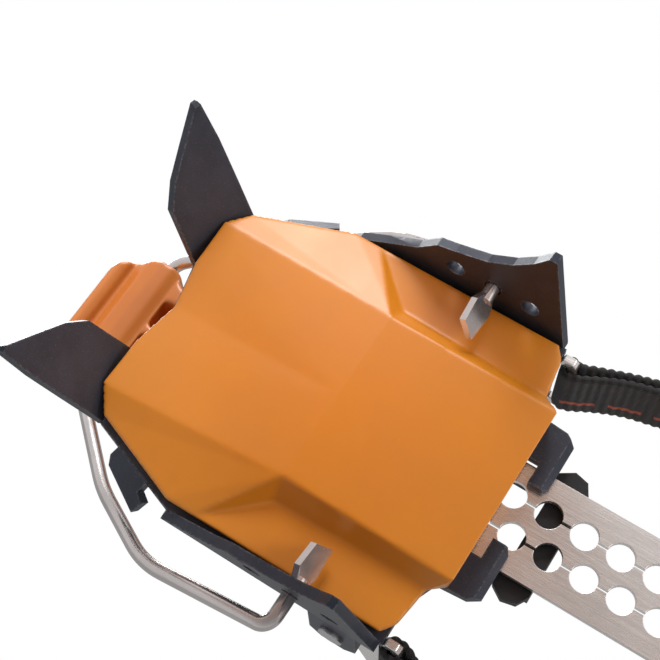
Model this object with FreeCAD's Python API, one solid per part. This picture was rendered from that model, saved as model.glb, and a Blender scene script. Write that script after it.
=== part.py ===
import FreeCAD, Part
import math
import os

# One step-in crampon, standing on its points. Millimetres, +X towards the toe, +Z up, ground at Z = 0.
# The origin is on the ground, under the middle of the crampon's length and width.

V = FreeCAD.Vector

# Overall
half_length = 148.4
plate_z = 29.5
plate_t = 2.5
plate_top = plate_z + plate_t
flare = math.radians(6.2)
heel_front = -29.0

# Linking bar: two staggered rows of holes
bar_width = 25.0
bar_t = 1.5
bar_z = plate_top + 0.05
bar_top = bar_z + bar_t
bar_rear = heel_front - 74.0
bar_front = heel_front + 106.0
hole_pitch = 9.0
hole_r = 3.25
row_y = 4.25
first_hole = heel_front + 9.3
slit_width = 0.7

# Heel section
heel_half_width = 40.1
bail_hole_pitch = 9.8
bail_hole_r = 2.25
bail_hole_depth = 8.4
heel_pivot_x = heel_front - 27.3
rear_point_angle = math.radians(60)

# Bails
wire_r = 1.75
heel_bail_tilt = math.radians(24)
heel_bail_length = 87.0
blade_width = 6.4
blade_t = 1.8

# Heel lever
lever_half_width = 17.6
wire_clearance = 0.08

# Front section
front_rear_edge = heel_front + 62.0
front_half_width = 42.0
toe_pivot_x = heel_front + 113.0
toe_hole_depth = 6.0
toe_bail_tilt = math.radians(38)
toe_bail_length = 74.0

# Adjuster
adjuster_pivot_x = heel_front - 24.0
adjuster_pivot_z = bar_top + 3.4
adjuster_pin_r = 1.5
ear_y = 14.2
ear_t = 2.0

# Fastenings and the bridge over the bar
bolt_r = 2.5
bolt_places = [heel_front + 74.0, heel_front + 86.0]
rivet_r = 1.6
bridge_x = heel_front - 44.0
bridge_length = 9.0

# Webbing
web_width = 20.0
web_t = 1.8
ring_turn = math.radians(16)
web_z = plate_z + 14.2


def face_of(points):
    """A flat face from corner points, each a Vector."""
    return Part.Face(Part.makePolygon(list(points) + [points[0]]))


def slab(corners, origin, along, across, normal, thickness):
    """A plate whose outline is given by corners (a, b), measured along two directions from an origin."""
    points = [origin + along * a + across * b for a, b in corners]
    return face_of(points).extrude(normal * thickness)


def flat_plate(corners, z, thickness):
    return slab(corners, V(0, 0, z), V(1, 0, 0), V(0, 1, 0), V(0, 0, 1), thickness)


def both_sides_yz(corners):
    return list(corners) + [(-y, z) for y, z in reversed(corners) if y != 0]


def both_sides(corners):
    """A closed outline from its +Y half, listed from the middle of one end to the middle of the other."""
    mirrored = [(x, -y) for x, y in reversed(corners) if y != 0]
    return list(corners) + mirrored


def mirrored(shape):
    return shape.mirror(V(0, 0, 0), V(0, 1, 0))


def pair(shape):
    return [shape, mirrored(shape)]


def cylinder(radius, height, base, direction):
    return Part.makeCylinder(radius, height, base, direction)


def cross_pin(radius, x, z, half):
    """A cylinder along Y, centred on the middle plane."""
    return cylinder(radius, 2 * half, V(x, -half, z), V(0, 1, 0))


def box(low, high):
    size = [b - a for a, b in zip(low, high)]
    return Part.makeBox(size[0], size[1], size[2], V(*low))


def fuse(shapes):
    whole = shapes[0]
    if len(shapes) > 1:
        whole = whole.multiFuse(shapes[1:])
    return whole.removeSplitter()


def above_ground(shape):
    """What reaches under the ground plane is ground off, which leaves each tip a small flat end."""
    return shape.cut(box((-400, -200, -60), (400, 200, 0)))


def rounded_path(points, radii):
    """A wire of straight runs through points, joined by tangent arcs of the given radii."""
    edges = []
    start = points[0]
    for i, radius in enumerate(radii, 1):
        a = (points[i - 1] - points[i]).normalize()
        b = (points[i + 1] - points[i]).normalize()
        half_turn = (math.pi - a.getAngle(b)) / 2
        reach = radius * math.tan(half_turn)
        middle_dir = (a + b).normalize()
        middle = points[i] + middle_dir * (radius / math.cos(half_turn) - radius)
        first = points[i] + a * reach
        last = points[i] + b * reach
        edges.append(Part.makeLine(start, first))
        edges.append(Part.Arc(first, middle, last).toShape())
        start = last
    edges.append(Part.makeLine(start, points[-1]))
    return Part.Wire(edges)


def tube(path, radius, start, direction):
    ring = Part.Wire(Part.makeCircle(radius, start, direction))
    return path.makePipeShell([ring], True, False)


def faceted(points, faces):
    """A closed solid from named points of its +Y half. Points with Y = 0 lie on the middle plane."""
    triangles = []
    for face in faces:
        names = face.split()
        for side in (1, -1):
            corners = [V(points[n][0], side * points[n][1], points[n][2]) for n in names]
            for i in range(1, len(corners) - 1):
                triangle = [corners[0], corners[i], corners[i + 1]]
                if (triangle[1] - triangle[0]).cross(triangle[2] - triangle[0]).Length > 1e-6:
                    triangles.append(face_of(triangle))
    solid = Part.makeSolid(Part.makeShell(triangles))
    if solid.Volume < 0:
        solid.reverse()
    return solid.removeSplitter()


def dish(points, faces, centre_x, wall):
    """A moulded plate with the faceted outer form and an even wall, open towards the boot."""
    outer = faceted(points, faces)
    length = max(p[0] for p in points.values()) - min(p[0] for p in points.values())
    width = 2 * max(p[1] for p in points.values())
    shrink_x = 1 - 2 * wall / length
    shrink_y = 1 - 2 * wall / width
    inner = {}
    for name, (x, y, z) in points.items():
        lifted = plate_z + 1 if name.startswith("t") else z + wall
        inner[name] = (centre_x + (x - centre_x) * shrink_x, y * shrink_y, lifted)
    return outer.cut(faceted(inner, faces))


# Steel frames


def side_flange(profile, half_width):
    """A flange bent down from the +Y edge of a frame; profile is (x, depth) along its inner face."""
    down = V(0, math.sin(flare), -math.cos(flare))
    out = V(0, math.cos(flare), math.sin(flare))
    return slab(profile, V(0, half_width, plate_z + plate_t / 2), V(1, 0, 0), down, out, plate_t)


def bail_holes(pivot_x, depth, half):
    """Three holes in a row through both flanges, for setting the bail forward or back."""
    z = plate_z - depth
    return [cross_pin(bail_hole_r, pivot_x + i * bail_hole_pitch, z, half) for i in (-1, 0, 1)]


def rear_point():
    """The +Y rear point: a hooked blade bent down and back, leaning outwards."""
    base = V(heel_front - 89.2, 22.0, plate_z)
    along = V(0.242, 0.970, 0)
    out = V(-0.970, 0.242, 0)
    down = out * math.cos(rear_point_angle) + V(0, 0, -math.sin(rear_point_angle))
    back = out * math.sin(rear_point_angle) + V(0, 0, math.cos(rear_point_angle))
    blade = [
        (-9.4, -1.2), (-9.4, 0), (-7.8, 16), (-3.8, 21.8), (2, 27.4), (9.6, 34.6), (10.8, 34.6), (10.9, 24),
    ]
    blade += [(10.2, 12), (9.4, 0), (9.4, -1.2)]
    return slab(blade, base, along, down, back, plate_t)


def heel_tab():
    """A small tab bent up and outwards beside the +Y rear corner, with a foot at its front end."""
    along = V(0.926, 0.376, 0)
    out = V(-0.376, 0.926, 0)
    lean = math.radians(48)
    up = out * math.sin(lean) + V(0, 0, math.cos(lean))
    back = out * -math.cos(lean) + V(0, 0, math.sin(lean))
    base = V(heel_front - 85.5, 31.2, plate_z + plate_t / 2)
    outline = [(5.4, -1), (16.4, -1), (16.2, 4), (18.8, 4.8), (18.2, 8.6), (6.2, 6.2), (4.8, 4)]
    return slab(outline, base, along, up, back, plate_t)


def strap_lug():
    """An upright lug on the +Y edge that carries the strap link."""
    x = heel_front - 24
    corners = [(x, -1), (x + 12, -1), (x + 12, 13), (x + 9, 16), (x + 3, 16), (x, 13)]
    return slab(corners, V(0, heel_half_width, plate_z + 1), V(1, 0, 0), V(0, 0, 1), V(0, 1, 0), plate_t)


def heel_frame():
    f = heel_front
    base = both_sides([
        (f - 89.5, 0), (f - 92.3, 12.8), (f - 90, 22), (f - 87.6, 31.5), (f - 62.4, heel_half_width + 0.4),
        (f - 6.5, heel_half_width + 0.4), (f - 6.5, 30), (f - 3.5, 23), (f + 3.8, 22.4), (f + 6.5, 20.6),
        (f + 6.5, 9), (f + 5.5, 7.6), (f + 1.8, 7.6), (f + 1.8, 12.9), (f - 12, 12.9), (f - 12, 0),
    ])
    plate = flat_plate(base, plate_z, plate_t)
    window = [(f - 77, 21), (f - 46, 21), (f - 34, 27), (f - 34, 33), (f - 62, 34), (f - 75, 28)]
    plate = plate.cut(fuse(pair(flat_plate(window, plate_z - 1, plate_t + 2))))
    rear_slot = both_sides([(f - 80, 0), (f - 80, 9), (f - 30, 9), (f - 30, 0)])
    plate = plate.cut(flat_plate(rear_slot, plate_z - 1, plate_t + 2))
    profile = [
        (f - 63, 0), (f - 55.7, 4.6), (f - 47.4, 9.6), (f - 42.7, 14.6), (f - 38, 15.8), (f - 30, 18.4),
        (f - 24, 22.2), (f - 19.5, 26.6), (f - 14.9, 33), (f - 7.3, 1), (f - 7.2, 0),
    ]
    half = [side_flange(profile, heel_half_width), rear_point(), heel_tab(), strap_lug()]
    whole = fuse([plate] + [s for part in half for s in pair(part)])
    bevel = [(f + 5.0, plate_z - 0.01), (f + 6.6, plate_z - 0.01), (f + 6.6, plate_z + 1.6)]
    whole = whole.cut(face_of([V(x, -30, z) for x, z in bevel]).extrude(V(0, 60, 0)))
    whole = whole.cut(fuse(bail_holes(heel_pivot_x, bail_hole_depth, 60)))
    holes = [rivet_hole(x, y) for x, y in bridge_rivet_places() + bracket_rivet_places()]
    holes.append(cross_pin(rivet_r, link_rivet_x, link_rivet_z, 60))
    return above_ground(whole.cut(fuse(holes)))


def front_point():
    """The +Y front point: a long tapered blade bent down a little."""
    droop = math.radians(24)
    ahead = V(math.cos(droop), 0, -math.sin(droop))
    up = V(math.sin(droop), 0, math.cos(droop))
    root = heel_front + 151.0
    reach = (half_length - root) / math.cos(droop)
    blade = [(-1, 8), (-1, 21), (reach * 0.5, 19), (reach, 15.8), (reach, 13.6), (reach * 0.5, 9.5)]
    return slab(blade, V(root, 0, plate_z), ahead, V(0, 1, 0), up, plate_t)


def secondary_point():
    """The +Y secondary point: a blade bent down and forwards from the front corner."""
    along = V(0.6, -0.8, 0)
    out = V(0.8, 0.6, 0)
    steep = math.radians(56)
    down = out * math.cos(steep) + V(0, 0, -math.sin(steep))
    normal = out * math.sin(steep) + V(0, 0, math.cos(steep))
    base = V(heel_front + 148.0, 31.5, plate_z + plate_t / 2)
    blade = [(-6, -1), (-5, 14), (-1.4, 38), (1.4, 38), (5.5, 14), (6, -1)]
    return slab(blade, base, along, down, normal, plate_t)


def front_frame():
    f = heel_front
    base = both_sides([
        (front_rear_edge, 0), (front_rear_edge, 16), (f + 70, 24), (f + 84, 37),
        (f + 90, front_half_width + 0.4),
        (f + 134, front_half_width + 0.4), (f + 144, 36), (f + 152.5, 26.5), (f + 152, 7.5),
        (f + 146, 6), (f + 146, 0),
    ])
    plate = flat_plate(base, plate_z, plate_t)
    window = [(f + 82, 16), (f + 108, 16), (f + 108, 34), (f + 93, 34), (f + 84, 26)]
    toe_window = [(f + 114, 8), (f + 140, 8), (f + 140, 24), (f + 130, 34), (f + 114, 34)]
    cuts = [flat_plate(w, plate_z - 1, plate_t + 2) for w in (window, toe_window)]
    plate = plate.cut(fuse([s for cut in cuts for s in pair(cut)]))
    profile = [
        (f + 86, 0), (f + 88, 14), (f + 90, 33), (f + 92, 33), (f + 97, 18), (f + 103, 13.2),
        (f + 117, 13.2),
        (f + 122, 19), (f + 126, 33), (f + 128, 33), (f + 131, 15), (f + 134, 0),
    ]
    half = [side_flange(profile, front_half_width), front_point(), secondary_point()]
    whole = fuse([plate] + [s for part in half for s in pair(part)])
    whole = whole.cut(fuse(bail_holes(toe_pivot_x, toe_hole_depth, 60)))
    bolts = [cylinder(bolt_r + 0.1, 20, V(x, 0, plate_z - 10), V(0, 0, 1)) for x in bolt_places]
    return above_ground(whole.cut(fuse(bolts)))


# Orange anti-snow plates


def heel_snow_plate():
    f = heel_front
    z = plate_z
    points = {
        "t0": (f - 88, 0, z), "t1": (f - 89.6, 12.4, z), "t2": (f - 87.2, 22.6, z),
        "t3": (f - 84.8, 30.2, z),
        "t4": (f - 63, 38.6, z), "t5": (f - 8.4, 38.6, z), "t6": (f - 6, 35, z), "t7": (f - 5, 26, z),
        "t8": (f - 1, 22.6, z), "t9": (f - 1, 0, z),
        "b0": (f - 88.2, 0, z - 4.8), "b1": (f - 90.8, 12.6, z - 4.9), "b2": (f - 91.0, 24.6, z - 5),
        "b3": (f - 87, 30.4, z - 3.2), "b4": (f - 63.4, 39.2, z - 3.2), "b5": (f - 8, 39.2, z - 3.2),
        "b6": (f - 5.6, 36, z - 3.2), "b7": (f - 4.2, 26.4, z - 3.2),
        "v1": (f - 56, 39.2, z - 3.2), "v2": (f - 43, 27.2, z - 3.2), "v3": (f - 12, 26.2, z - 3.2),
        "r1": (f - 43, 22.6, z - 9), "r2": (f, 22.8, z - 7.5), "c1": (f - 43, 0, z - 9),
        "c2": (f, 0, z - 7.5),
    }
    faces = [
        "t0 t1 t9", "t1 t2 t9", "t2 t3 t9", "t3 t4 t9", "t4 t5 t9", "t5 t6 t9", "t6 t7 t9", "t7 t8 t9",
        "t0 b0 b1 t1", "t1 b1 b2 t2", "t2 b2 b3 t3", "t3 b3 b4 t4", "t4 b4 v1 t5", "v1 b5 t5",
        "t5 b5 b6 t6",
        "t6 b6 b7 t7", "t7 b7 r2 t8", "t8 r2 c2 t9",
        "b0 c1 b1", "b1 c1 b2", "b2 c1 r1", "c1 c2 r1", "c2 r2 r1",
        "b2 r1 b3", "b3 r1 b4", "b4 r1 v1", "v1 r1 v2", "r1 r2 v3", "r1 v3 v2", "r2 b7 v3",
        "v1 v2 v3", "v1 v3 b5", "v3 b6 b5", "v3 b7 b6",
    ]
    return dish(points, faces, f - 45, 2.0)


def front_snow_plate():
    f = heel_front
    z = plate_z
    points = {
        "t0": (f + 66, 0, z), "t1": (f + 66, 14, z), "t3": (f + 88.5, 36, z), "t4": (f + 90, 38.5, z),
        "t5": (f + 130, 38.5, z), "t6": (f + 139, 34, z), "t7": (f + 141, 18, z), "t9": (f + 141, 0, z),
        "b0": (f + 65, 0, z - 5), "b1": (f + 65, 15, z - 5), "b3": (f + 88, 37, z - 3.2),
        "b4": (f + 91, 40, z - 2.2), "b5": (f + 130, 40, z - 2.2), "b6": (f + 139.6, 34.6, z - 3.2),
        "b7": (f + 142, 18.6, z - 4.5), "b9": (f + 142, 0, z - 4.5),
        "v2": (f + 100, 28, z - 2.2), "v3": (f + 124, 27, z - 2.2),
        "r0": (f + 68, 15.5, z - 8), "r1": (f + 104, 23.5, z - 9.5), "r2": (f + 134, 18.5, z - 8.5),
        "c0": (f + 68, 0, z - 8), "c1": (f + 104, 0, z - 9.5), "c2": (f + 134, 0, z - 8.5),
    }
    faces = [
        "t0 t1 t9", "t1 t3 t9", "t3 t4 t9", "t4 t5 t9", "t5 t6 t9", "t6 t7 t9",
        "t0 b0 b1 t1", "t1 b1 b3 t3", "t3 b3 b4 t4", "t4 b4 b5 t5", "t5 b5 b6 t6", "t6 b6 b7 t7",
        "t7 b7 b9 t9",
        "b0 c0 r0", "b0 r0 b1", "c0 c1 r1", "c0 r1 r0", "c1 c2 r2", "c1 r2 r1", "c2 b9 b7", "c2 b7 r2",
        "b1 r0 b3", "r0 r1 v2", "r0 v2 b3", "b3 v2 b4", "r1 v3 v2", "r1 r2 v3", "v2 v3 b5", "v2 b5 b4",
        "v3 b6 b5", "v3 r2 b6", "r2 b7 b6",
    ]
    return dish(points, faces, f + 103, 2.0)


# Linking bar and its fittings


def bar_holes():
    """The (x, y) places of both rows; the rows are half a pitch apart."""
    rear = [(first_hole + i * hole_pitch, -row_y) for i in range(-8, 6)]
    ahead = [(first_hole + (i - 0.5) * hole_pitch, row_y) for i in range(-7, 6)]
    return rear, ahead


def linking_bar():
    corner = 3.0
    outline = both_sides([
        (bar_rear, 0), (bar_rear, bar_width / 2 - corner), (bar_rear + corner, bar_width / 2),
        (bar_front - corner, bar_width / 2), (bar_front, bar_width / 2 - corner), (bar_front, 0),
    ])
    bar = flat_plate(outline, bar_z, bar_t)
    cuts = []
    for row in bar_holes():
        for i, (x, y) in enumerate(row):
            cuts.append(cylinder(hole_r, bar_t + 2, V(x, y, bar_z - 1), V(0, 0, 1)))
            if i + 1 < len(row):
                low = (x + hole_r - 0.3, y - slit_width / 2, bar_z - 1)
                high = (x + hole_pitch - hole_r + 0.3, y + slit_width / 2, bar_top + 1)
                cuts.append(box(low, high))
    for x in bolt_places:
        cuts.append(cylinder(bolt_r + 0.1, bar_t + 2, V(x, 0, bar_z - 1), V(0, 0, 1)))
    return bar.cut(fuse(cuts))


def rivet_hole(x, y):
    return cylinder(rivet_r, 20, V(x, y, plate_z - 8), V(0, 0, 1))


def bridge_rivet_places():
    return [(bridge_x + bridge_length / 2, y) for y in (-17.8, 17.8)]


def bracket_rivet_places():
    return [(adjuster_pivot_x - 1, y) for y in (-22.5, 22.5)]


def rivet(x, y, top):
    """A round-headed rivet from the underside of the frame up through what it holds."""
    head = 2.9
    shank = cylinder(rivet_r, top - plate_z, V(x, y, plate_z), V(0, 0, 1))
    dome = cylinder(head, 1.1, V(x, y, top), V(0, 0, 1))
    rim = [e for e in dome.Edges if e.Closed and abs(e.BoundBox.ZMin - top - 1.1) < 1e-6]
    dome = dome.makeFillet(0.9, rim)
    return fuse([shank, dome])


def bar_bridge():
    """A pressed strap over the bar that keeps its rear end down on the heel frame."""
    low = bar_top + 0.1
    inner = bar_width / 2 + 0.4
    foot = 21.6
    t = 1.5
    section = both_sides_yz([
        (0, low + t), (inner + 0.8, low + t), (inner + t, low + t - 0.8), (inner + t, plate_top + t),
        (foot, plate_top + t),
        (foot, plate_top), (inner, plate_top), (inner, low), (0, low),
    ])
    strap = face_of([V(bridge_x, y, z) for y, z in section]).extrude(V(bridge_length, 0, 0))
    holes = [rivet_hole(hx, hy) for hx, hy in bridge_rivet_places()]
    return strap.cut(fuse(holes))


def adjuster_bracket():
    """Two ears beside the bar, joined over it, that carry the length adjuster's pin."""
    x = adjuster_pivot_x
    half = []
    foot = box((x - 5, ear_y, plate_top), (x + 4, 26.5, plate_top + 1.5))
    corners = [(x - 5, plate_top), (x + 4, plate_top)]
    corners += [(x + 4, adjuster_pivot_z + 1), (x + 1.5, adjuster_pivot_z + 3.4)]
    corners += [(x - 2, adjuster_pivot_z + 3.4), (x - 5, adjuster_pivot_z + 0.5)]
    ear = face_of([V(a, ear_y, b) for a, b in corners]).extrude(V(0, ear_t, 0))
    half = fuse([foot, ear])
    bridge = box((x - 5, -ear_y - 1, bar_top + 0.15), (x - 2.6, ear_y + 1, bar_top + 1.65))
    whole = fuse(pair(half) + [bridge])
    holes = [rivet_hole(hx, hy) for hx, hy in bracket_rivet_places()]
    holes.append(cross_pin(adjuster_pin_r, x, adjuster_pivot_z, 30))
    return whole.cut(fuse(holes))


def adjuster_pin():
    """The adjuster's hinge pin, with a flat head at each end."""
    x = adjuster_pivot_x
    z = adjuster_pivot_z
    half = ear_y + ear_t
    pin = cross_pin(adjuster_pin_r, x, z, half + 0.1)
    heads = [cylinder(2.4, 0.9, V(x, half, z), V(0, 1, 0)), cylinder(2.4, 0.9, V(x, -half, z), V(0, -1, 0))]
    return fuse([pin] + heads)


def peg_places():
    """The bar holes that the adjuster's two pegs stand in."""
    return [(first_hole - 2 * hole_pitch, -row_y), (first_hole - 2.5 * hole_pitch, row_y)]


def adjuster_lever():
    """A pressed steel lever over the bar: a curled hinge end, two pegs and a cross handle."""
    x = adjuster_pivot_x
    f = heel_front
    z = bar_top + 1.2
    t = 2.0
    half_arm = 10.5
    outline = both_sides([
        (x, 0), (x, half_arm), (f + 4, half_arm), (f + 6.4, 15.2), (f + 9.5, 17.2), (f + 13, 16.4),
        (f + 14.6, 13.6),
        (f + 14.6, 0),
    ])
    arm = flat_plate(outline, z, t).cut(box((f - 4.5, -8, z - 1), (f + 7, 8, z + t + 1)))
    barrel = cross_pin(adjuster_pin_r + 1.6, x, adjuster_pivot_z, half_arm)
    pegs = []
    for px, py in peg_places():
        pegs.append(cylinder(2.6, z - bar_z - 0.1, V(px, py, bar_z + 0.1), V(0, 0, 1)))
    lift = box((f + 12.6, -13.6, z), (f + 14.6, 13.6, z + 5))
    whole = fuse([arm, barrel, lift] + pegs)
    return whole.cut(cross_pin(adjuster_pin_r + 0.08, x, adjuster_pivot_z, 30))


def coil(x, z, y0, turns, pitch, coil_r, r):
    """A spring's turns around the adjuster pin, as a stack of rings that touch."""
    rings = []
    for i in range(turns):
        ring = Part.makeTorus(coil_r, r, V(x, y0 + i * pitch, z), V(0, 1, 0))
        rings.append(ring)
    return rings


def adjuster_spring():
    """The adjuster's return spring, wound on its pin beside each end of the lever's barrel."""
    rings = []
    for side in (1, -1):
        rings += coil(adjuster_pivot_x, adjuster_pivot_z, side * 11.4, 3, side * 0.85, 2.05, 0.42)
    return Part.makeCompound(rings)


def bolt(x):
    """A button-headed bolt up through the front frame and the bar, drawn at its true diameter."""
    head = cylinder(4.6, 2.2, V(x, 0, plate_z - 2.2), V(0, 0, 1))
    shank = cylinder(bolt_r, bar_top + 5.4 - plate_z, V(x, 0, plate_z), V(0, 0, 1))
    socket = hexagon(x, 1.5, plate_z - 2.3, 1.6)
    return fuse([head, shank]).cut(socket)


def hexagon(x, flat_half, z, height):
    corner = flat_half / math.cos(math.pi / 6)
    turns = [i * math.pi / 3 for i in range(6)]
    points = [V(x + corner * math.cos(a), corner * math.sin(a), z) for a in turns]
    return face_of(points).extrude(V(0, 0, height))


def nut(x):
    bore = cylinder(bolt_r, 10, V(x, 0, bar_top), V(0, 0, 1))
    return hexagon(x, 4.0, bar_top, 4.0).cut(bore)


# Bails and the heel lever


def bail_frame(pivot_x, depth, tilt, ahead):
    """The point on the bail's hinge axis and the direction that its legs run in; ahead is 1 or -1."""
    pivot = V(pivot_x, 0, plate_z - depth)
    legs = V(ahead * math.cos(tilt), 0, math.sin(tilt))
    return pivot, legs


def blade(pivot, y_root, y_end, direction):
    """The flattened end of a bail wire, inside the flange, with its width along direction."""
    thin = V(0, 1, 0).cross(direction)
    narrow = wire_r * 0.9
    wide = blade_width / 2
    corners = [(-narrow, y_root), (-wide, y_root - 3), (-wide + 0.6, y_end), (wide - 0.6, y_end - 1.6)]
    corners += [(wide, y_root - 3), (narrow, y_root)]
    return slab(corners, pivot - thin * (blade_t / 2), direction, V(0, 1, 0), thin, blade_t)


def bail(pivot, legs, turns, radii, ends, blade_direction):
    """A bent wire: turns are (y, distance along the legs) of its corners, from the +Y hinge."""
    corners = [pivot + V(0, y, 0) + legs * s for y, s in turns]
    first = V(pivot.x, ends[0], pivot.z)
    last = V(pivot.x, ends[1], pivot.z)
    wire = tube(rounded_path([first] + corners + [last], radii), wire_r, first, V(0, 1, 0))
    left = blade(pivot, ends[0] + 1.5, ends[0] - 7.5, blade_direction)
    right = mirrored(blade(pivot, 1.5 - ends[1], -7.5 - ends[1], blade_direction))
    return fuse([wire, left, right])


def heel_bail():
    """The heel wire hangs a little to one side in its holes, so its two legs are listed separately."""
    pivot, legs = bail_frame(heel_pivot_x, bail_hole_depth, heel_bail_tilt, -1)
    turns = [(52, 0), (52, 38), (41, 61), (20.6, heel_bail_length)]
    turns += [(-20.6, heel_bail_length), (-36, 60), (-46.8, 33), (-46.8, 0)]
    return bail(pivot, legs, turns, [3.2, 26, 40, 5, 5, 40, 26, 2.4], [39.4, -37.2], V(0.55, 0, 0.835))


def toe_bail():
    pivot, legs = bail_frame(toe_pivot_x, toe_hole_depth, toe_bail_tilt, 1)
    turns = [(52, 0), (52, 34), (35, toe_bail_length - 6), (20, toe_bail_length)]
    turns += [(-y, s) for y, s in reversed(turns)]
    return bail(pivot, legs, turns, [3.2, 22, 12, 12, 12, 12, 22, 3.2], [39.0, -39.0], V(0.8, 0, 0.6))


def lever_axis():
    pivot, legs = bail_frame(heel_pivot_x, bail_hole_depth, heel_bail_tilt, -1)
    return pivot + legs * heel_bail_length


def heel_lever():
    """The orange heel lever, folded forwards over the heel: lip, barrel on the bail wire, and grip."""
    axis = lever_axis()
    rear = -half_length - axis.x
    grip = 52.0
    side = [
        (rear, -1.5), (rear + 0.5, -4.2), (rear + 2.3, -5.4), (rear + 4.4, -4.6), (-7.4, -2.8),
        (-6.2, -3.4),
        (-4.2, -5.0), (-1, -5.7), (2.2, -5.4), (4.6, -4.2), (6, -4.6), (11, -4.8), (16, -3.4), (30, -1),
        (grip - 4, 1.6), (grip, 3.6), (grip - 1.5, 6.4), (grip - 8, 6.2), (26, 5.4), (8, 5.8),
        (0, 5.6), (-5, 4.4),
        (-9, 2.6), (rear, 0.8),
    ]
    points = [V(axis.x + a, -lever_half_width, axis.z + b) for a, b in side]
    body = face_of(points).extrude(V(0, 2 * lever_half_width, 0))
    plan = both_sides([
        (rear, 0), (rear, 8.6), (rear + 1.6, 11.6), (rear + 5.6, 14.8), (rear + 9, 16.6),
        (-1, lever_half_width),
        (3.4, lever_half_width), (5, 16.8), (5.6, 15), (9, 13.6), (grip - 12, 12.2), (grip - 3, 10.4),
        (grip, 7),
        (grip, 0),
    ])
    plan = [(axis.x + a, b) for a, b in plan]
    body = body.common(flat_plate(plan, axis.z - 20, 40))
    cuts = [cross_pin(wire_r + wire_clearance, axis.x, axis.z, 30)]
    for y in (-5.2, 5.2):
        cuts.append(box((axis.x + 5.4, y - 3.9, axis.z - 12), (axis.x + 11, y + 3.9, axis.z + 2.4)))
        cuts.append(box((axis.x + 14, y - 3.9, axis.z - 12), (axis.x + 42, y + 3.9, axis.z + 2.6)))
    return body.cut(fuse(cuts))


# Strap fittings and webbing

link_rivet_x = heel_front - 18.0
link_rivet_z = plate_z + 9.0
link_t = 2.0
link_front = heel_front - 2.4


def strap_link(side):
    """A flat steel link on the inner face of a lug, with a tall slot for the webbing at its front end."""
    low = web_z - web_width / 2 - 3
    high = web_z + web_width / 2 + 3
    rear = heel_front - 22.5
    corners = [
        (rear, plate_top + 0.2), (heel_front - 6.2, plate_top + 0.2), (heel_front - 6.2, low),
        (link_front - 1, low),
        (link_front, low + 1),
        (link_front, high - 1), (link_front - 1, high), (rear + 12, high), (rear + 8, plate_z + 15),
        (rear, plate_z + 15),
    ]
    y = heel_half_width - link_t
    plate = face_of([V(x, y, z) for x, z in corners]).extrude(V(0, link_t, 0))
    slot = box((link_front - 5, y - 1, low + 2.6), (link_front - 2.2, y + link_t + 1, high - 2.6))
    hole = cylinder(rivet_r, 10, V(link_rivet_x, y - 2, link_rivet_z), V(0, 1, 0))
    link = plate.cut(fuse([slot, hole]))
    return link if side > 0 else mirrored(link)


def link_rivets():
    y = heel_half_width
    shank = cylinder(rivet_r, plate_t + link_t, V(link_rivet_x, y - link_t, link_rivet_z), V(0, 1, 0))
    outer = cylinder(3.0, 1.0, V(link_rivet_x, y + plate_t, link_rivet_z), V(0, 1, 0))
    inner = cylinder(3.0, 1.0, V(link_rivet_x, y - link_t - 1.0, link_rivet_z), V(0, 1, 0))
    return Part.makeCompound(pair(fuse([shank, outer, inner])))


def tangent_radii(points, label):
    """Each inner point's arc radius: 0.45 of its shorter run over the tangent of half its turn."""
    radii = []
    for i in range(1, len(points) - 1):
        before = points[i] - points[i - 1]
        after = points[i + 1] - points[i]
        turn = before.getAngle(after)
        radii.append(0.45 * min(before.Length, after.Length) / math.tan(turn / 2))
    print(label, "radii", [round(r) for r in radii])
    return radii


def webbing(route, label):
    """Webbing standing on its edge; route is its (x, y) points from the heel frame's front edge."""
    points = [V(heel_front + x, y, web_z) for x, y in route]
    path = rounded_path(points, tangent_radii(points, label))
    ahead = (points[1] - points[0]).normalize()
    across = V(-ahead.y, ahead.x, 0) * (web_t / 2)
    up = V(0, 0, web_width / 2)
    corners = ((1, 1), (-1, 1), (-1, -1), (1, -1), (1, 1))
    section = Part.makePolygon([points[0] + s * across + t * up for s, t in corners])
    strip = path.makePipeShell([section], True, False)
    print(label, "volume / (section x length)", round(strip.Volume / (web_width * web_t * path.Length), 4))
    print(label, "length", round(path.Length, 1))
    return strip


strap_long_route = [
    (-2.3, -40.4), (10, -45.4), (28, -49.4), (50, -53), (72, -53), (92, -44), (108, -28), (115, -6),
    (113, 16),
    (105, 36), (88, 48), (70, 56.5), (55, 57.4), (40.6, 53.6),
]
strap_short_route = [(-2.3, 40.4), (8.5, 44.6), (20.4, 48.1)]
strap_tail_route = [(40.6, 58.8), (58, 62.2), (78, 67.4), (100, 66.4)]


def d_ring(shift):
    """A D-shaped ring on edge: a tall straight bar, and a rounded bow ahead of it, shifted outwards."""
    r = 1.5
    tall = web_width / 2 + r + 0.8
    ahead = V(math.cos(ring_turn), math.sin(ring_turn), 0)
    bar = V(heel_front + 20.6, 48.2, web_z) + ahead * r + V(-ahead.y, ahead.x, 0) * shift
    up = V(0, 0, tall)
    points = [bar, bar + up, bar + up + ahead * 7, bar + ahead * 17, bar - up + ahead * 7, bar - up, bar]
    path = rounded_path(points, [3, 5, 8, 5, 3])
    return tube(path, r, points[0], V(0, 0, 1))


def save(name, shape):
    shape.exportStep("parts/" + name + ".step")
    box_ = shape.BoundBox
    low = [round(v, 1) for v in (box_.XMin, box_.YMin, box_.ZMin)]
    high = [round(v, 1) for v in (box_.XMax, box_.YMax, box_.ZMax)]
    print(name, "valid" if shape.isValid() else "INVALID", len(shape.Solids), round(shape.Volume), low, high)


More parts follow.
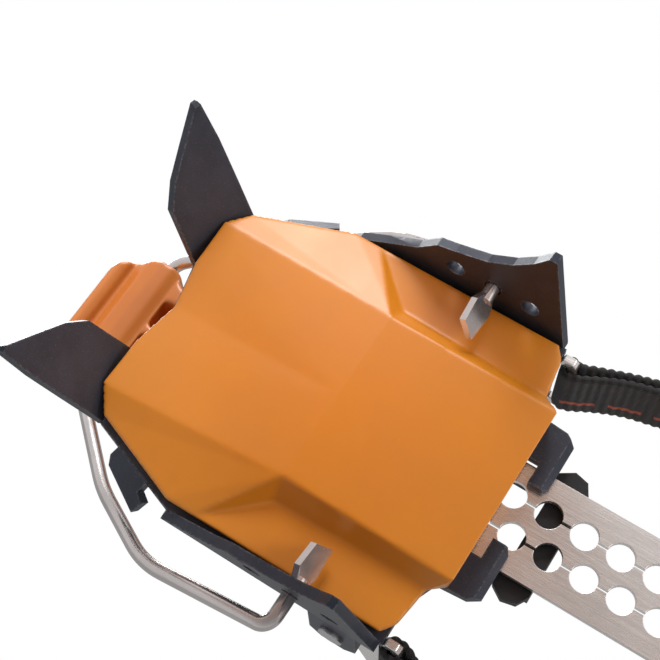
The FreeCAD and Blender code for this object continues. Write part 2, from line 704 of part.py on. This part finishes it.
os.makedirs("parts", exist_ok=True)
save("heel_frame", heel_frame())
save("front_frame", front_frame())
save("heel_snow_plate", heel_snow_plate())
save("front_snow_plate", front_snow_plate())
save("linking_bar", linking_bar())
save("bar_bridge", bar_bridge())
save("bridge_rivets", Part.makeCompound([rivet(x, y, plate_top + 1.5) for x, y in bridge_rivet_places()]))
save("adjuster_bracket", adjuster_bracket())
save("bracket_rivets", Part.makeCompound([rivet(x, y, plate_top + 1.5) for x, y in bracket_rivet_places()]))
save("adjuster_pin", adjuster_pin())
save("adjuster_lever", adjuster_lever())
save("adjuster_spring", adjuster_spring())
save("bar_bolts", Part.makeCompound([bolt(x) for x in bolt_places]))
save("bar_nuts", Part.makeCompound([nut(x) for x in bolt_places]))
save("heel_bail", heel_bail())
save("heel_lever", heel_lever())
save("toe_bail", toe_bail())
save("strap_link_left", strap_link(1))
save("strap_link_right", strap_link(-1))
save("link_rivets", link_rivets())
save("ankle_strap", webbing(strap_long_route, "ankle_strap"))
save("buckle_strap", webbing(strap_short_route, "buckle_strap"))
save("strap_tail", webbing(strap_tail_route, "strap_tail"))
save("buckle_ring_inner", d_ring(0))
save("buckle_ring_outer", d_ring(3.2))
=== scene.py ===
import math
import bpy
import bmesh
from mathutils import Matrix, Vector


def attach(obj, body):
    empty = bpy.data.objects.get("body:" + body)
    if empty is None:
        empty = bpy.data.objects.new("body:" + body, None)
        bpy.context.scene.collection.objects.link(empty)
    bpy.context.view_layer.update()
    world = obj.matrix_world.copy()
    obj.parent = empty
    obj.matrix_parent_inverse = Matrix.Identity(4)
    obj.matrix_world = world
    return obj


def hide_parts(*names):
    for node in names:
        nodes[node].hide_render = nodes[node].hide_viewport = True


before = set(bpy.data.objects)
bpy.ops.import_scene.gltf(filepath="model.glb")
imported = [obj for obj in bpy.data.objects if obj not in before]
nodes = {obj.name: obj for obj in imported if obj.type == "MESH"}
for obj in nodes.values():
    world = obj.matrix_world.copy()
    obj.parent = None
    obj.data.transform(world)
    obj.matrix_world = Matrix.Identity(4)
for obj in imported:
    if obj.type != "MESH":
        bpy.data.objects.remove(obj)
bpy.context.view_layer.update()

# The heel frame's front edge, the webbing's middle height and its rib spacing, in metres
heel_front = -0.029
strap_mid = 0.0437
rib_pitch = 0.0021

# Camera

camera = bpy.data.objects.new("camera", bpy.data.cameras.new("camera"))
bpy.context.scene.collection.objects.link(camera)
camera.data.lens = 82.06
camera.data.sensor_width = 36.0
camera.data.clip_start = 0.01
camera.data.clip_end = 20.0
camera.matrix_world = Matrix((
    (0.841613, -0.480662, 0.246275, 0.001854),
    (-0.539578, -0.767997, 0.345016, 0.105338),
    (0.023303, -0.423255, -0.905711, -0.288073),
    (0.0, 0.0, 0.0, 1.0),
))
bpy.context.scene.camera = camera

# Node helpers


def link(tree, out, into):
    tree.links.new(out, into)


def add(tree, kind, **values):
    """A node with its properties and unlinked inputs set."""
    node = tree.nodes.new(kind)
    for key, value in values.items():
        if key.startswith("in_"):
            name = key[3:].replace("_", " ")
            name = int(name) if name.isdigit() else name
            node.inputs[name].default_value = value
        else:
            setattr(node, key, value)
    return node


def new_group(name, inputs, outputs):
    """A node group with named sockets: (name, kind, default)."""
    tree = bpy.data.node_groups.new(name, "ShaderNodeTree")
    for label, kind, default in inputs:
        socket = tree.interface.new_socket(label, in_out="INPUT", socket_type=kind)
        if default is not None:
            socket.default_value = default
    for label, kind in outputs:
        tree.interface.new_socket(label, in_out="OUTPUT", socket_type=kind)
    return tree, tree.nodes.new("NodeGroupInput"), tree.nodes.new("NodeGroupOutput")


def value_mix(tree, factor, a, b):
    """A float between a and b; each may be a number or an output."""
    node = add(tree, "ShaderNodeMix", data_type="FLOAT")
    for socket, given in ((0, factor), (2, a), (3, b)):
        if isinstance(given, (int, float)):
            node.inputs[socket].default_value = given
        else:
            link(tree, given, node.inputs[socket])
    return node.outputs[0]


def colour_mix(tree, factor, a, b, blend="MIX"):
    """A colour between a and b; each may be a tuple or an output."""
    node = add(tree, "ShaderNodeMix", data_type="RGBA", blend_type=blend)
    for socket, given in ((0, factor), (6, a), (7, b)):
        if isinstance(given, (int, float)):
            node.inputs[socket].default_value = given
        elif isinstance(given, tuple):
            node.inputs[socket].default_value = given
        else:
            link(tree, given, node.inputs[socket])
    return node.outputs[2]


def ramp(tree, source, low, high, a=0.0, b=1.0):
    node = add(tree, "ShaderNodeMapRange", in_1=low, in_2=high, in_3=a, in_4=b)
    link(tree, source, node.inputs[0])
    return node.outputs[0]


# Shared effects


def edge_wear_and_highlight_group():
    """A mask of rubbed edges on steel, also used as a painted highlight along edges on plastic: where a
    bevelled normal turns away from the face, broken up by noise.
    """
    tree, inp, out = new_group(
        "edge_wear_and_highlight",
        [
            ("Radius", "NodeSocketFloat", 0.0008), ("Break", "NodeSocketFloat", 900.0),
            ("Amount", "NodeSocketFloat", 1.0),
        ],
        [("Mask", "NodeSocketFloat")],
    )
    bevel = add(tree, "ShaderNodeBevel", samples=4)
    link(tree, inp.outputs["Radius"], bevel.inputs["Radius"])
    geo = add(tree, "ShaderNodeNewGeometry")
    dot = add(tree, "ShaderNodeVectorMath", operation="DOT_PRODUCT")
    link(tree, bevel.outputs[0], dot.inputs[0])
    link(tree, geo.outputs["True Normal"], dot.inputs[1])
    turned = ramp(tree, dot.outputs["Value"], 0.985, 0.9, 0.0, 1.0)
    where = add(tree, "ShaderNodeTexCoord")
    noise = add(tree, "ShaderNodeTexNoise", in_Detail=3.0)
    link(tree, where.outputs["Object"], noise.inputs["Vector"])
    link(tree, inp.outputs["Break"], noise.inputs["Scale"])
    broken = ramp(tree, noise.outputs[0], 0.42, 0.62)
    both = add(tree, "ShaderNodeMath", operation="MULTIPLY", use_clamp=True)
    link(tree, turned, both.inputs[0])
    link(tree, broken, both.inputs[1])
    scaled = add(tree, "ShaderNodeMath", operation="MULTIPLY", use_clamp=True)
    link(tree, both.outputs[0], scaled.inputs[0])
    link(tree, inp.outputs["Amount"], scaled.inputs[1])
    link(tree, scaled.outputs[0], out.inputs["Mask"])
    return tree


def grain_group():
    """Fine grain over soft clouds: a height for bumps and a slow variation for colour."""
    tree, inp, out = new_group(
        "grain",
        [("Scale", "NodeSocketFloat", 2500.0), ("Clouds", "NodeSocketFloat", 60.0)],
        [("Height", "NodeSocketFloat"), ("Variation", "NodeSocketFloat")],
    )
    where = add(tree, "ShaderNodeTexCoord")
    fine = add(tree, "ShaderNodeTexNoise", in_Detail=2.0, in_Roughness=0.6)
    slow = add(tree, "ShaderNodeTexNoise", in_Detail=4.0, in_Roughness=0.55)
    link(tree, where.outputs["Object"], fine.inputs["Vector"])
    link(tree, where.outputs["Object"], slow.inputs["Vector"])
    link(tree, inp.outputs["Scale"], fine.inputs["Scale"])
    link(tree, inp.outputs["Clouds"], slow.inputs["Scale"])
    link(tree, fine.outputs[0], out.inputs["Height"])
    link(tree, slow.outputs[0], out.inputs["Variation"])
    return tree


def scratch_group():
    """Long thin marks running along one direction, for brushed and drawn metal."""
    tree, inp, out = new_group(
        "scratches",
        [("Stretch", "NodeSocketVector", (60.0, 2500.0, 2500.0))],
        [("Height", "NodeSocketFloat")],
    )
    where = add(tree, "ShaderNodeTexCoord")
    scale = add(tree, "ShaderNodeVectorMath", operation="MULTIPLY")
    link(tree, where.outputs["Object"], scale.inputs[0])
    link(tree, inp.outputs["Stretch"], scale.inputs[1])
    noise = add(tree, "ShaderNodeTexNoise", in_Scale=1.0, in_Detail=3.0, in_Roughness=0.6)
    link(tree, scale.outputs[0], noise.inputs["Vector"])
    link(tree, noise.outputs[0], out.inputs["Height"])
    return tree


edge_wear_and_highlight = edge_wear_and_highlight_group()
grain = grain_group()
scratches = scratch_group()


def use(tree, group, **values):
    node = tree.nodes.new("ShaderNodeGroup")
    node.node_tree = group
    for key, value in values.items():
        node.inputs[key.replace("_", " ")].default_value = value
    return node


def material(name):
    """A new node material: its tree and its Principled shader."""
    made = bpy.data.materials.new(name)
    made.use_nodes = True
    tree = made.node_tree
    return made, tree, tree.nodes["Principled BSDF"]


def bump(tree, shader, height, strength, distance):
    node = add(tree, "ShaderNodeBump", in_Strength=strength, in_Distance=distance)
    link(tree, height, node.inputs["Height"])
    link(tree, node.outputs[0], shader.inputs["Normal"])


# Materials


def coated_steel(name, face, edge, wear, roughness):
    """Dark powder-coated steel with a granular skin and greyer rubbed edges."""
    made, tree, shader = material(name)
    fine = use(tree, grain, Scale=3200.0, Clouds=90.0)
    mask = use(tree, edge_wear_and_highlight, Radius=0.0007, Break=1300.0, Amount=wear)
    darker = tuple(c * 0.72 for c in face[:3]) + (1,)
    base = colour_mix(tree, ramp(tree, fine.outputs["Variation"], 0.35, 0.65), darker, face)
    speck = ramp(tree, fine.outputs["Height"], 0.62, 0.72, 0.0, 0.30)
    base = colour_mix(tree, speck, base, edge)
    link(tree, colour_mix(tree, mask.outputs[0], base, edge), shader.inputs["Base Color"])
    link(tree, value_mix(tree, mask.outputs[0], roughness, roughness * 0.75), shader.inputs["Roughness"])
    link(tree, ramp(tree, mask.outputs[0], 0.0, 1.0, 0.35, 0.75), shader.inputs["Metallic"])
    bump(tree, shader, fine.outputs["Height"], 0.35, 0.00006)
    return made


def moulded_plastic(name, colour, shade, light, roughness, coat):
    """Satin moulded plastic with a little mottling and edges painted paler as a highlight."""
    made, tree, shader = material(name)
    fine = use(tree, grain, Scale=1500.0, Clouds=38.0)
    mask = use(tree, edge_wear_and_highlight, Radius=0.0009, Break=420.0, Amount=0.35)
    base = colour_mix(tree, ramp(tree, fine.outputs["Variation"], 0.32, 0.68), shade, colour)
    # Painted highlight: the edges are coloured paler along the rims.
    link(tree, colour_mix(tree, mask.outputs[0], base, light), shader.inputs["Base Color"])
    uneven = ramp(tree, fine.outputs["Variation"], 0.3, 0.7, roughness + 0.05, roughness - 0.04)
    link(tree, uneven, shader.inputs["Roughness"])
    shader.inputs["Coat Weight"].default_value = coat
    shader.inputs["Coat Roughness"].default_value = 0.3
    shader.inputs["Subsurface Weight"].default_value = 0.06
    shader.inputs["Subsurface Radius"].default_value = (0.004, 0.0015, 0.0005)
    bump(tree, shader, fine.outputs["Height"], 0.10, 0.00004)
    return made


def bare_metal(name, colour, dark, stretch, roughness, strength):
    """Bare stainless or plated steel with fine marks along its working direction."""
    made, tree, shader = material(name)
    lines = use(tree, scratches, Stretch=stretch)
    fine = use(tree, grain, Scale=1800.0, Clouds=70.0)
    base = colour_mix(tree, ramp(tree, fine.outputs["Variation"], 0.3, 0.7), dark, colour)
    base = colour_mix(tree, ramp(tree, lines.outputs[0], 0.35, 0.6, 0.25, 0.0), base, dark)
    link(tree, base, shader.inputs["Base Color"])
    shader.inputs["Metallic"].default_value = 0.92
    uneven = ramp(tree, lines.outputs[0], 0.3, 0.7, roughness - 0.07, roughness + 0.08)
    link(tree, uneven, shader.inputs["Roughness"])
    bump(tree, shader, lines.outputs[0], strength, 0.00005)
    return made


frame_coat = coated_steel("frame_coat", (0.040, 0.046, 0.066, 1), (0.19, 0.205, 0.235, 1), 1.0, 0.42)
adjuster_coat = coated_steel("adjuster_coat", (0.016, 0.016, 0.018, 1), (0.09, 0.09, 0.10, 1), 0.6, 0.5)
orange_plate = moulded_plastic(
    "orange_plate", (0.64, 0.228, 0.014, 1), (0.59, 0.203, 0.011, 1), (0.80, 0.36, 0.10, 1), 0.38, 0.22
)
orange_lever = moulded_plastic(
    "orange_lever", (0.66, 0.200, 0.035, 1), (0.58, 0.165, 0.026, 1), (0.85, 0.38, 0.14, 1), 0.34, 0.25
)
bar_steel = bare_metal(
    "bar_steel", (0.95, 0.92, 0.90, 1), (0.88, 0.85, 0.83, 1), (70.0, 5200.0, 5200.0), 0.25, 0.03
)
wire_steel = bare_metal(
    "wire_steel", (0.74, 0.70, 0.69, 1), (0.62, 0.58, 0.57, 1), (160.0, 160.0, 160.0), 0.20, 0.02
)
plated_steel = bare_metal(
    "plated_steel", (0.58, 0.58, 0.60, 1), (0.40, 0.40, 0.42, 1), (900.0, 900.0, 900.0), 0.3, 0.2
)


def woven_strap(name):
    """Black webbing: raised ribs across it, a fine weave with painted shade in its hollows, and a broken
    orange line nearer its upper edge.
    """
    made, tree, shader = material(name)
    where = add(tree, "ShaderNodeUVMap", uv_map="strap")
    parts = add(tree, "ShaderNodeSeparateXYZ")
    link(tree, where.outputs[0], parts.inputs[0])
    along = parts.outputs[0]
    across = parts.outputs[1]
    ribs = add(tree, "ShaderNodeMath", operation="SINE")
    turns = add(tree, "ShaderNodeMath", operation="MULTIPLY", in_1=2 * math.pi / rib_pitch)
    link(tree, along, turns.inputs[0])
    link(tree, turns.outputs[0], ribs.inputs[0])
    threads = add(tree, "ShaderNodeMath", operation="MULTIPLY", in_1=2 * math.pi / 0.0007)
    link(tree, across, threads.inputs[0])
    weft = add(tree, "ShaderNodeMath", operation="SINE")
    link(tree, threads.outputs[0], weft.inputs[0])
    weave = add(tree, "ShaderNodeMath", operation="MULTIPLY_ADD", in_1=0.5)
    link(tree, weft.outputs[0], weave.inputs[0])
    link(tree, ribs.outputs[0], weave.inputs[2])
    fuzz = use(tree, grain, Scale=5200.0, Clouds=300.0)
    rough_height = add(tree, "ShaderNodeMath", operation="MULTIPLY_ADD", in_1=1.4)
    link(tree, fuzz.outputs["Height"], rough_height.inputs[0])
    link(tree, weave.outputs[0], rough_height.inputs[2])
    # The line wanders a little as a sewn thread does
    wander = add(tree, "ShaderNodeMath", operation="SINE")
    wander_turns = add(tree, "ShaderNodeMath", operation="MULTIPLY", in_1=2 * math.pi / 0.0042)
    link(tree, along, wander_turns.inputs[0])
    link(tree, wander_turns.outputs[0], wander.inputs[0])
    moved = add(tree, "ShaderNodeMath", operation="MULTIPLY_ADD", in_1=0.00022)
    link(tree, wander.outputs[0], moved.inputs[0])
    link(tree, across, moved.inputs[2])
    off_line = add(tree, "ShaderNodeMath", operation="SUBTRACT", in_1=0.0042)
    link(tree, moved.outputs[0], off_line.inputs[0])
    distance = add(tree, "ShaderNodeMath", operation="ABSOLUTE")
    link(tree, off_line.outputs[0], distance.inputs[0])
    on_line = ramp(tree, distance.outputs[0], 0.0005, 0.0009, 1.0, 0.0)
    period = add(tree, "ShaderNodeMath", operation="FRACT")
    periods = add(tree, "ShaderNodeMath", operation="DIVIDE", in_1=0.0113)
    link(tree, along, periods.inputs[0])
    link(tree, periods.outputs[0], period.inputs[0])
    dash = ramp(tree, period.outputs[0], 0.70, 0.74, 1.0, 0.0)
    stripe = add(tree, "ShaderNodeMath", operation="MULTIPLY", use_clamp=True)
    link(tree, on_line, stripe.inputs[0])
    link(tree, dash, stripe.inputs[1])
    painted_shade_black = (0.003, 0.003, 0.003, 1)
    raised_black = (0.013, 0.012, 0.013, 1)
    dusty_black = (0.035, 0.032, 0.033, 1)
    line_orange = (0.52, 0.085, 0.030, 1)
    # Painted shade: the weave's hollows are coloured darker than its raised ribs.
    base = colour_mix(tree, ramp(tree, weave.outputs[0], -1.2, 1.2), painted_shade_black, raised_black)
    dust = ramp(tree, fuzz.outputs["Variation"], 0.4, 0.7, 0.0, 0.35)
    base = colour_mix(tree, dust, base, dusty_black)
    link(tree, colour_mix(tree, stripe.outputs[0], base, line_orange), shader.inputs["Base Color"])
    shader.inputs["Roughness"].default_value = 0.86
    shader.inputs["Sheen Weight"].default_value = 0.15
    shader.inputs["Sheen Roughness"].default_value = 0.5
    bump(tree, shader, rough_height.outputs[0], 0.7, 0.00018)
    return made


strap_cloth = woven_strap("strap_cloth")

# Straps


def nurbs_line(name, points):
    """A smooth open curve through the strap's route, its ends at the first and last points."""
    data = bpy.data.curves.new(name, "CURVE")
    data.dimensions = "3D"
    data.resolution_u = 24
    spline = data.splines.new("NURBS")
    spline.points.add(len(points) - 1)
    for point, place in zip(spline.points, points):
        point.co = (*place, 1.0)
    spline.order_u = 3
    spline.use_endpoint_u = True
    made = bpy.data.objects.new(name, data)
    bpy.context.scene.collection.objects.link(made)
    return made


def line_points(curve):
    """Points along a curve's own line, in order; the curve is only a guide and is removed."""
    bpy.context.view_layer.update()
    mesh = bpy.data.meshes.new_from_object(curve.evaluated_get(bpy.context.evaluated_depsgraph_get()))
    places = [v.co.copy() for v in mesh.vertices]
    bpy.data.meshes.remove(mesh)
    bpy.data.objects.remove(curve)
    return places


def even_points(places, step):
    """The same line with its points evenly spaced, and the distance along it of each."""
    lengths = [0.0]
    for a, b in zip(places, places[1:]):
        lengths.append(lengths[-1] + (b - a).length)
    count = max(4, round(lengths[-1] / step))
    out = []
    k = 0
    for i in range(count + 1):
        s = lengths[-1] * i / count
        while k < len(places) - 2 and lengths[k + 1] < s:
            k += 1
        span = lengths[k + 1] - lengths[k]
        t = (s - lengths[k]) / span if span > 0 else 0.0
        out.append((places[k].lerp(places[k + 1], t), s))
    return out


def ribbon(name, places, width, thickness, start=0.0):
    """Webbing standing on its edge along a level line: ribbed faces, scalloped edges, closed ends."""
    mesh = bpy.data.meshes.new(name)
    work = bmesh.new()
    uv = work.loops.layers.uv.new("strap")
    half = width / 2
    flat = [(h, 1) for h in (-0.8, -0.5, -0.2, 0.2, 0.5, 0.8)]
    outline = [(-1.0, 0.0), (-0.985, 0.75)] + flat + [(0.985, 0.75), (1.0, 0.0)]
    outline += [(h, -s) for h, s in reversed(outline[1:-1])]
    line = even_points(places, rib_pitch / 5)
    rows = []
    for i, (place, s) in enumerate(line):
        a = line[max(0, i - 1)][0]
        b = line[min(len(line) - 1, i + 1)][0]
        ahead = (b - a).normalized()
        side = Vector((-ahead.y, ahead.x, 0)).normalized()
        swell = abs(math.sin(math.pi * (s + start) / rib_pitch))
        uneven = 1 + 0.02 * math.sin(610 * (s + start)) + 0.015 * math.sin(1730 * (s + start) + 1)
        row = []
        for h, t in outline:
            edge = 1.0 if abs(h) > 0.9 else 0.0
            tall = half * h * (1 - 0.055 * (1 - swell) * edge) * (0.985 + 0.015 * uneven)
            thick = thickness / 2 * t * (0.72 + 0.28 * swell) * uneven
            row.append(work.verts.new(place + side * thick + Vector((0, 0, tall))))
        rows.append((row, s + start))
    count = len(outline)
    heights = [h * half for h, _ in outline]
    for (row, s), (after, s2) in zip(rows, rows[1:]):
        for k in range(count):
            n = (k + 1) % count
            face = work.faces.new((row[k], row[n], after[n], after[k]))
            corners = ((s, heights[k]), (s, heights[n]), (s2, heights[n]), (s2, heights[k]))
            for loop, where in zip(face.loops, corners):
                loop[uv].uv = where
            face.smooth = True
    for row, s in (rows[0], rows[-1]):
        face = work.faces.new(row)
        for loop, h in zip(face.loops, heights):
            loop[uv].uv = (s, h)
    bmesh.ops.recalc_face_normals(work, faces=work.faces)
    work.to_mesh(mesh)
    work.free()
    made = bpy.data.objects.new(name, mesh)
    bpy.context.scene.collection.objects.link(made)
    mesh.materials.append(strap_cloth)
    return made


def strap_route(pairs):
    return [Vector((heel_front + x / 1000, y / 1000, strap_mid)) for x, y in pairs]


web_width = 0.020
web_thickness = 0.0018
ankle_route = strap_route([
    (-2.3, -40.4), (10, -45.4), (28, -49.4), (50, -53), (72, -53), (92, -44), (108, -28), (115, -6),
    (113, 16),
    (105, 36), (88, 48), (70, 56.5), (55, 57.4), (40.6, 53.6),
])
buckle_route = strap_route([(-2.3, 40.4), (8.5, 44.6), (20.4, 48.1)])
tail_route = strap_route([(40.6, 58.8), (58, 62.2), (78, 67.4), (100, 66.4)])

ankle_line = line_points(nurbs_line("ankle_line", ankle_route))
buckle_line = line_points(nurbs_line("buckle_line", buckle_route))
tail_line = line_points(nurbs_line("tail_line", tail_route))
ankle_strap = ribbon("ankle_strap_webbing", ankle_line, web_width, web_thickness)
buckle_strap = ribbon("buckle_strap_webbing", buckle_line, web_width, web_thickness)
strap_tail = ribbon("strap_tail_webbing", tail_line, web_width, web_thickness)


def fold(name, pairs, start=0.0):
    """A turn of webbing round a bar."""
    line = line_points(nurbs_line(name + "_line", strap_route(pairs)))
    return ribbon(name, line, web_width * 0.985, web_thickness, start)


right_fold = fold("strap_fold_right", [
    (-2.2, -40.6), (-3.6, -41.3), (-5.2, -41.0), (-5.9, -39.1), (-5.2, -37.2), (-3.4, -36.9), (-1.2, -37.6),
    (3.0, -40.0), (10, -43.2), (20, -45.5), (32, -48.2),
], 0.003)
left_fold = fold("strap_fold_left", [
    (-2.2, 40.6), (-4.4, 41.4), (-6.2, 40.9), (-6.4, 39.1), (-6.1, 37.3), (-4.0, 36.8), (-1.6, 37.2),
    (2.6, 39.6), (8, 42.1), (13, 44.0),
], 0.003)
ring_fold = fold("strap_fold_rings", [
    (20.4, 48.1), (22.4, 47.0), (24.0, 48.6), (23.6, 52.4), (21.6, 54.0), (18.6, 52.6), (14, 50.0),
    (8.5, 46.9),
], 0.001)
tail_fold = fold("strap_fold_tail", [
    (40.6, 53.6), (37.6, 51.9), (34.6, 52.0), (33.6, 55.0), (34.4, 58.2), (37.2, 59.6), (40.6, 58.8),
], 0.002)
for piece in (ankle_strap, buckle_strap, strap_tail, right_fold, left_fold, ring_fold, tail_fold):
    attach(piece, "heel_section")
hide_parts("ankle_strap")
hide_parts("buckle_strap")
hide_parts("strap_tail")
# Moulded pieces


def only(obj):
    """Nothing else selected, and obj active."""
    bpy.ops.object.select_all(action="DESELECT")
    obj.select_set(True)
    bpy.context.view_layer.objects.active = obj


def merged_copy(node, name):
    """A merged copy of a CAD node's mesh, to be finished as a piece."""
    made = nodes[node].copy()
    made.data = nodes[node].data.copy()
    made.name = name
    made.parent = None
    made.matrix_world = Matrix.Identity(4)
    bpy.context.scene.collection.objects.link(made)
    only(made)
    bpy.ops.object.mode_set(mode="EDIT")
    bpy.ops.mesh.select_all(action="SELECT")
    bpy.ops.mesh.remove_doubles(threshold=0.00001)
    bpy.ops.mesh.dissolve_limited(angle_limit=math.radians(0.5))
    bpy.ops.object.mode_set(mode="OBJECT")
    return made


def apply_all(obj):
    only(obj)
    for modifier in list(obj.modifiers):
        bpy.ops.object.modifier_apply(modifier=modifier.name)


def finish_piece(obj, body, node, look):
    obj.data.materials.clear()
    obj.data.materials.append(look)
    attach(obj, body)
    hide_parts(node)


def round_edges(obj, width, segments, angle):
    bevel = obj.modifiers.new("rounded", "BEVEL")
    bevel.width = width
    bevel.segments = segments
    bevel.limit_method = "ANGLE"
    bevel.angle_limit = math.radians(angle)
    bevel.harden_normals = False
    bevel.miter_outer = "MITER_ARC"
    bevel.use_clamp_overlap = True


def moulding(node, name, voxel, passes):
    """A moulded piece: the CAD form remeshed evenly, its edges softened, then smooth all over."""
    made = merged_copy(node, name)
    remesh = made.modifiers.new("even", "REMESH")
    remesh.mode = "VOXEL"
    remesh.voxel_size = voxel
    remesh.use_smooth_shade = True
    soften = made.modifiers.new("soften", "SMOOTH")
    soften.factor = 0.5
    soften.iterations = passes
    apply_all(made)
    only(made)
    bpy.ops.object.shade_smooth()
    return made


heel_plate = moulding("heel_snow_plate", "heel_plate_moulding", 0.0005, 5)
finish_piece(heel_plate, "heel_section", "heel_snow_plate", orange_plate)
front_plate = moulding("front_snow_plate", "front_plate_moulding", 0.0005, 5)
finish_piece(front_plate, "front_section", "front_snow_plate", orange_plate)
lever = moulding("heel_lever", "heel_lever_moulding", 0.00045, 14)
finish_piece(lever, "heel_clamp_lever", "heel_lever", orange_lever)

# Sheet metal, wire and fasteners keep their CAD form


def dress(node, look, width, angle=25, segments=2):
    """A CAD node with softened edges and its own finish."""
    obj = nodes[node]
    weld = obj.modifiers.new("weld", "WELD")
    weld.merge_threshold = 0.00001
    if width:
        round_edges(obj, width, segments, angle)
    for material_slot in obj.material_slots:
        material_slot.material = look


dress("heel_frame", frame_coat, 0.0003)
dress("front_frame", frame_coat, 0.0003)
dress("bar_bridge", frame_coat, 0.0002)
dress("adjuster_bracket", adjuster_coat, 0.0002)
dress("adjuster_lever", adjuster_coat, 0.0003)
dress("linking_bar", bar_steel, 0.00012)
dress("strap_link_left", bar_steel, 0.0003)
dress("strap_link_right", bar_steel, 0.0003)
dress("heel_bail", wire_steel, 0.0003, 40)
dress("toe_bail", wire_steel, 0.0003, 40)
for part in (
    "bridge_rivets", "bracket_rivets", "link_rivets", "adjuster_pin", "adjuster_spring",
    "bar_bolts", "bar_nuts",
):
    dress(part, plated_steel, 0.00015, 40)
for part in ("buckle_ring_inner", "buckle_ring_outer"):
    dress(part, wire_steel, 0)

# Studio

floor_mesh = bpy.data.meshes.new("floor")
floor_mesh.from_pydata([(-3, -3, 0), (3, -3, 0), (3, 3, 0), (-3, 3, 0)], [], [(0, 1, 2, 3)])
floor = bpy.data.objects.new("floor", floor_mesh)
bpy.context.scene.collection.objects.link(floor)
floor_look, floor_tree, floor_shader = material("floor_look")
floor_shader.inputs["Base Color"].default_value = (0.86, 0.86, 0.86, 1)
floor_shader.inputs["Roughness"].default_value = 0.9
clear = floor_tree.nodes.new("ShaderNodeBsdfTransparent")
facing = floor_tree.nodes.new("ShaderNodeNewGeometry")
choose = floor_tree.nodes.new("ShaderNodeMixShader")
link(floor_tree, facing.outputs["Backfacing"], choose.inputs[0])
link(floor_tree, floor_shader.outputs[0], choose.inputs[1])
link(floor_tree, clear.outputs[0], choose.inputs[2])
link(floor_tree, choose.outputs[0], floor_tree.nodes["Material Output"].inputs["Surface"])
floor_mesh.materials.append(floor_look)
floor.visible_shadow = False

bpy.context.scene.view_settings.view_transform = "Standard"
world = bpy.data.worlds.new("studio")
bpy.context.scene.world = world
world.use_nodes = True
sky = world.node_tree.nodes["Background"]
sky.inputs[0].default_value = (1.0, 1.0, 1.0, 1)
rays = world.node_tree.nodes.new("ShaderNodeLightPath")
level = world.node_tree.nodes.new("ShaderNodeMapRange")
level.inputs["To Min"].default_value = 0.40
level.inputs["To Max"].default_value = 1.0
link(world.node_tree, rays.outputs["Is Camera Ray"], level.inputs[0])
link(world.node_tree, level.outputs[0], sky.inputs[1])
middle = Vector((-0.085, 0.0, 0.02))


def soft_light(name, right, up, towards, size, power):
    """A round soft light, placed from the object's middle along the camera's own axes, in metres."""
    data = bpy.data.lights.new(name, "AREA")
    data.shape = "DISK"
    data.size = size
    data.energy = power
    made = bpy.data.objects.new(name, data)
    bpy.context.scene.collection.objects.link(made)
    axes = camera.matrix_world.to_3x3()
    made.location = middle + axes @ Vector((right, up, towards))
    made.rotation_euler = (middle - made.location).to_track_quat("-Z", "Y").to_euler()
    return made


soft_light("key", 0.10, 0.85, 0.16, 0.40, 5.4)
soft_light("front", 0.35, -0.15, 0.95, 0.60, 0.9)
soft_light("side", 0.75, 0.05, 0.55, 0.36, 2.8)
soft_light("back", -0.2, 0.5, -0.8, 0.60, 7.0)
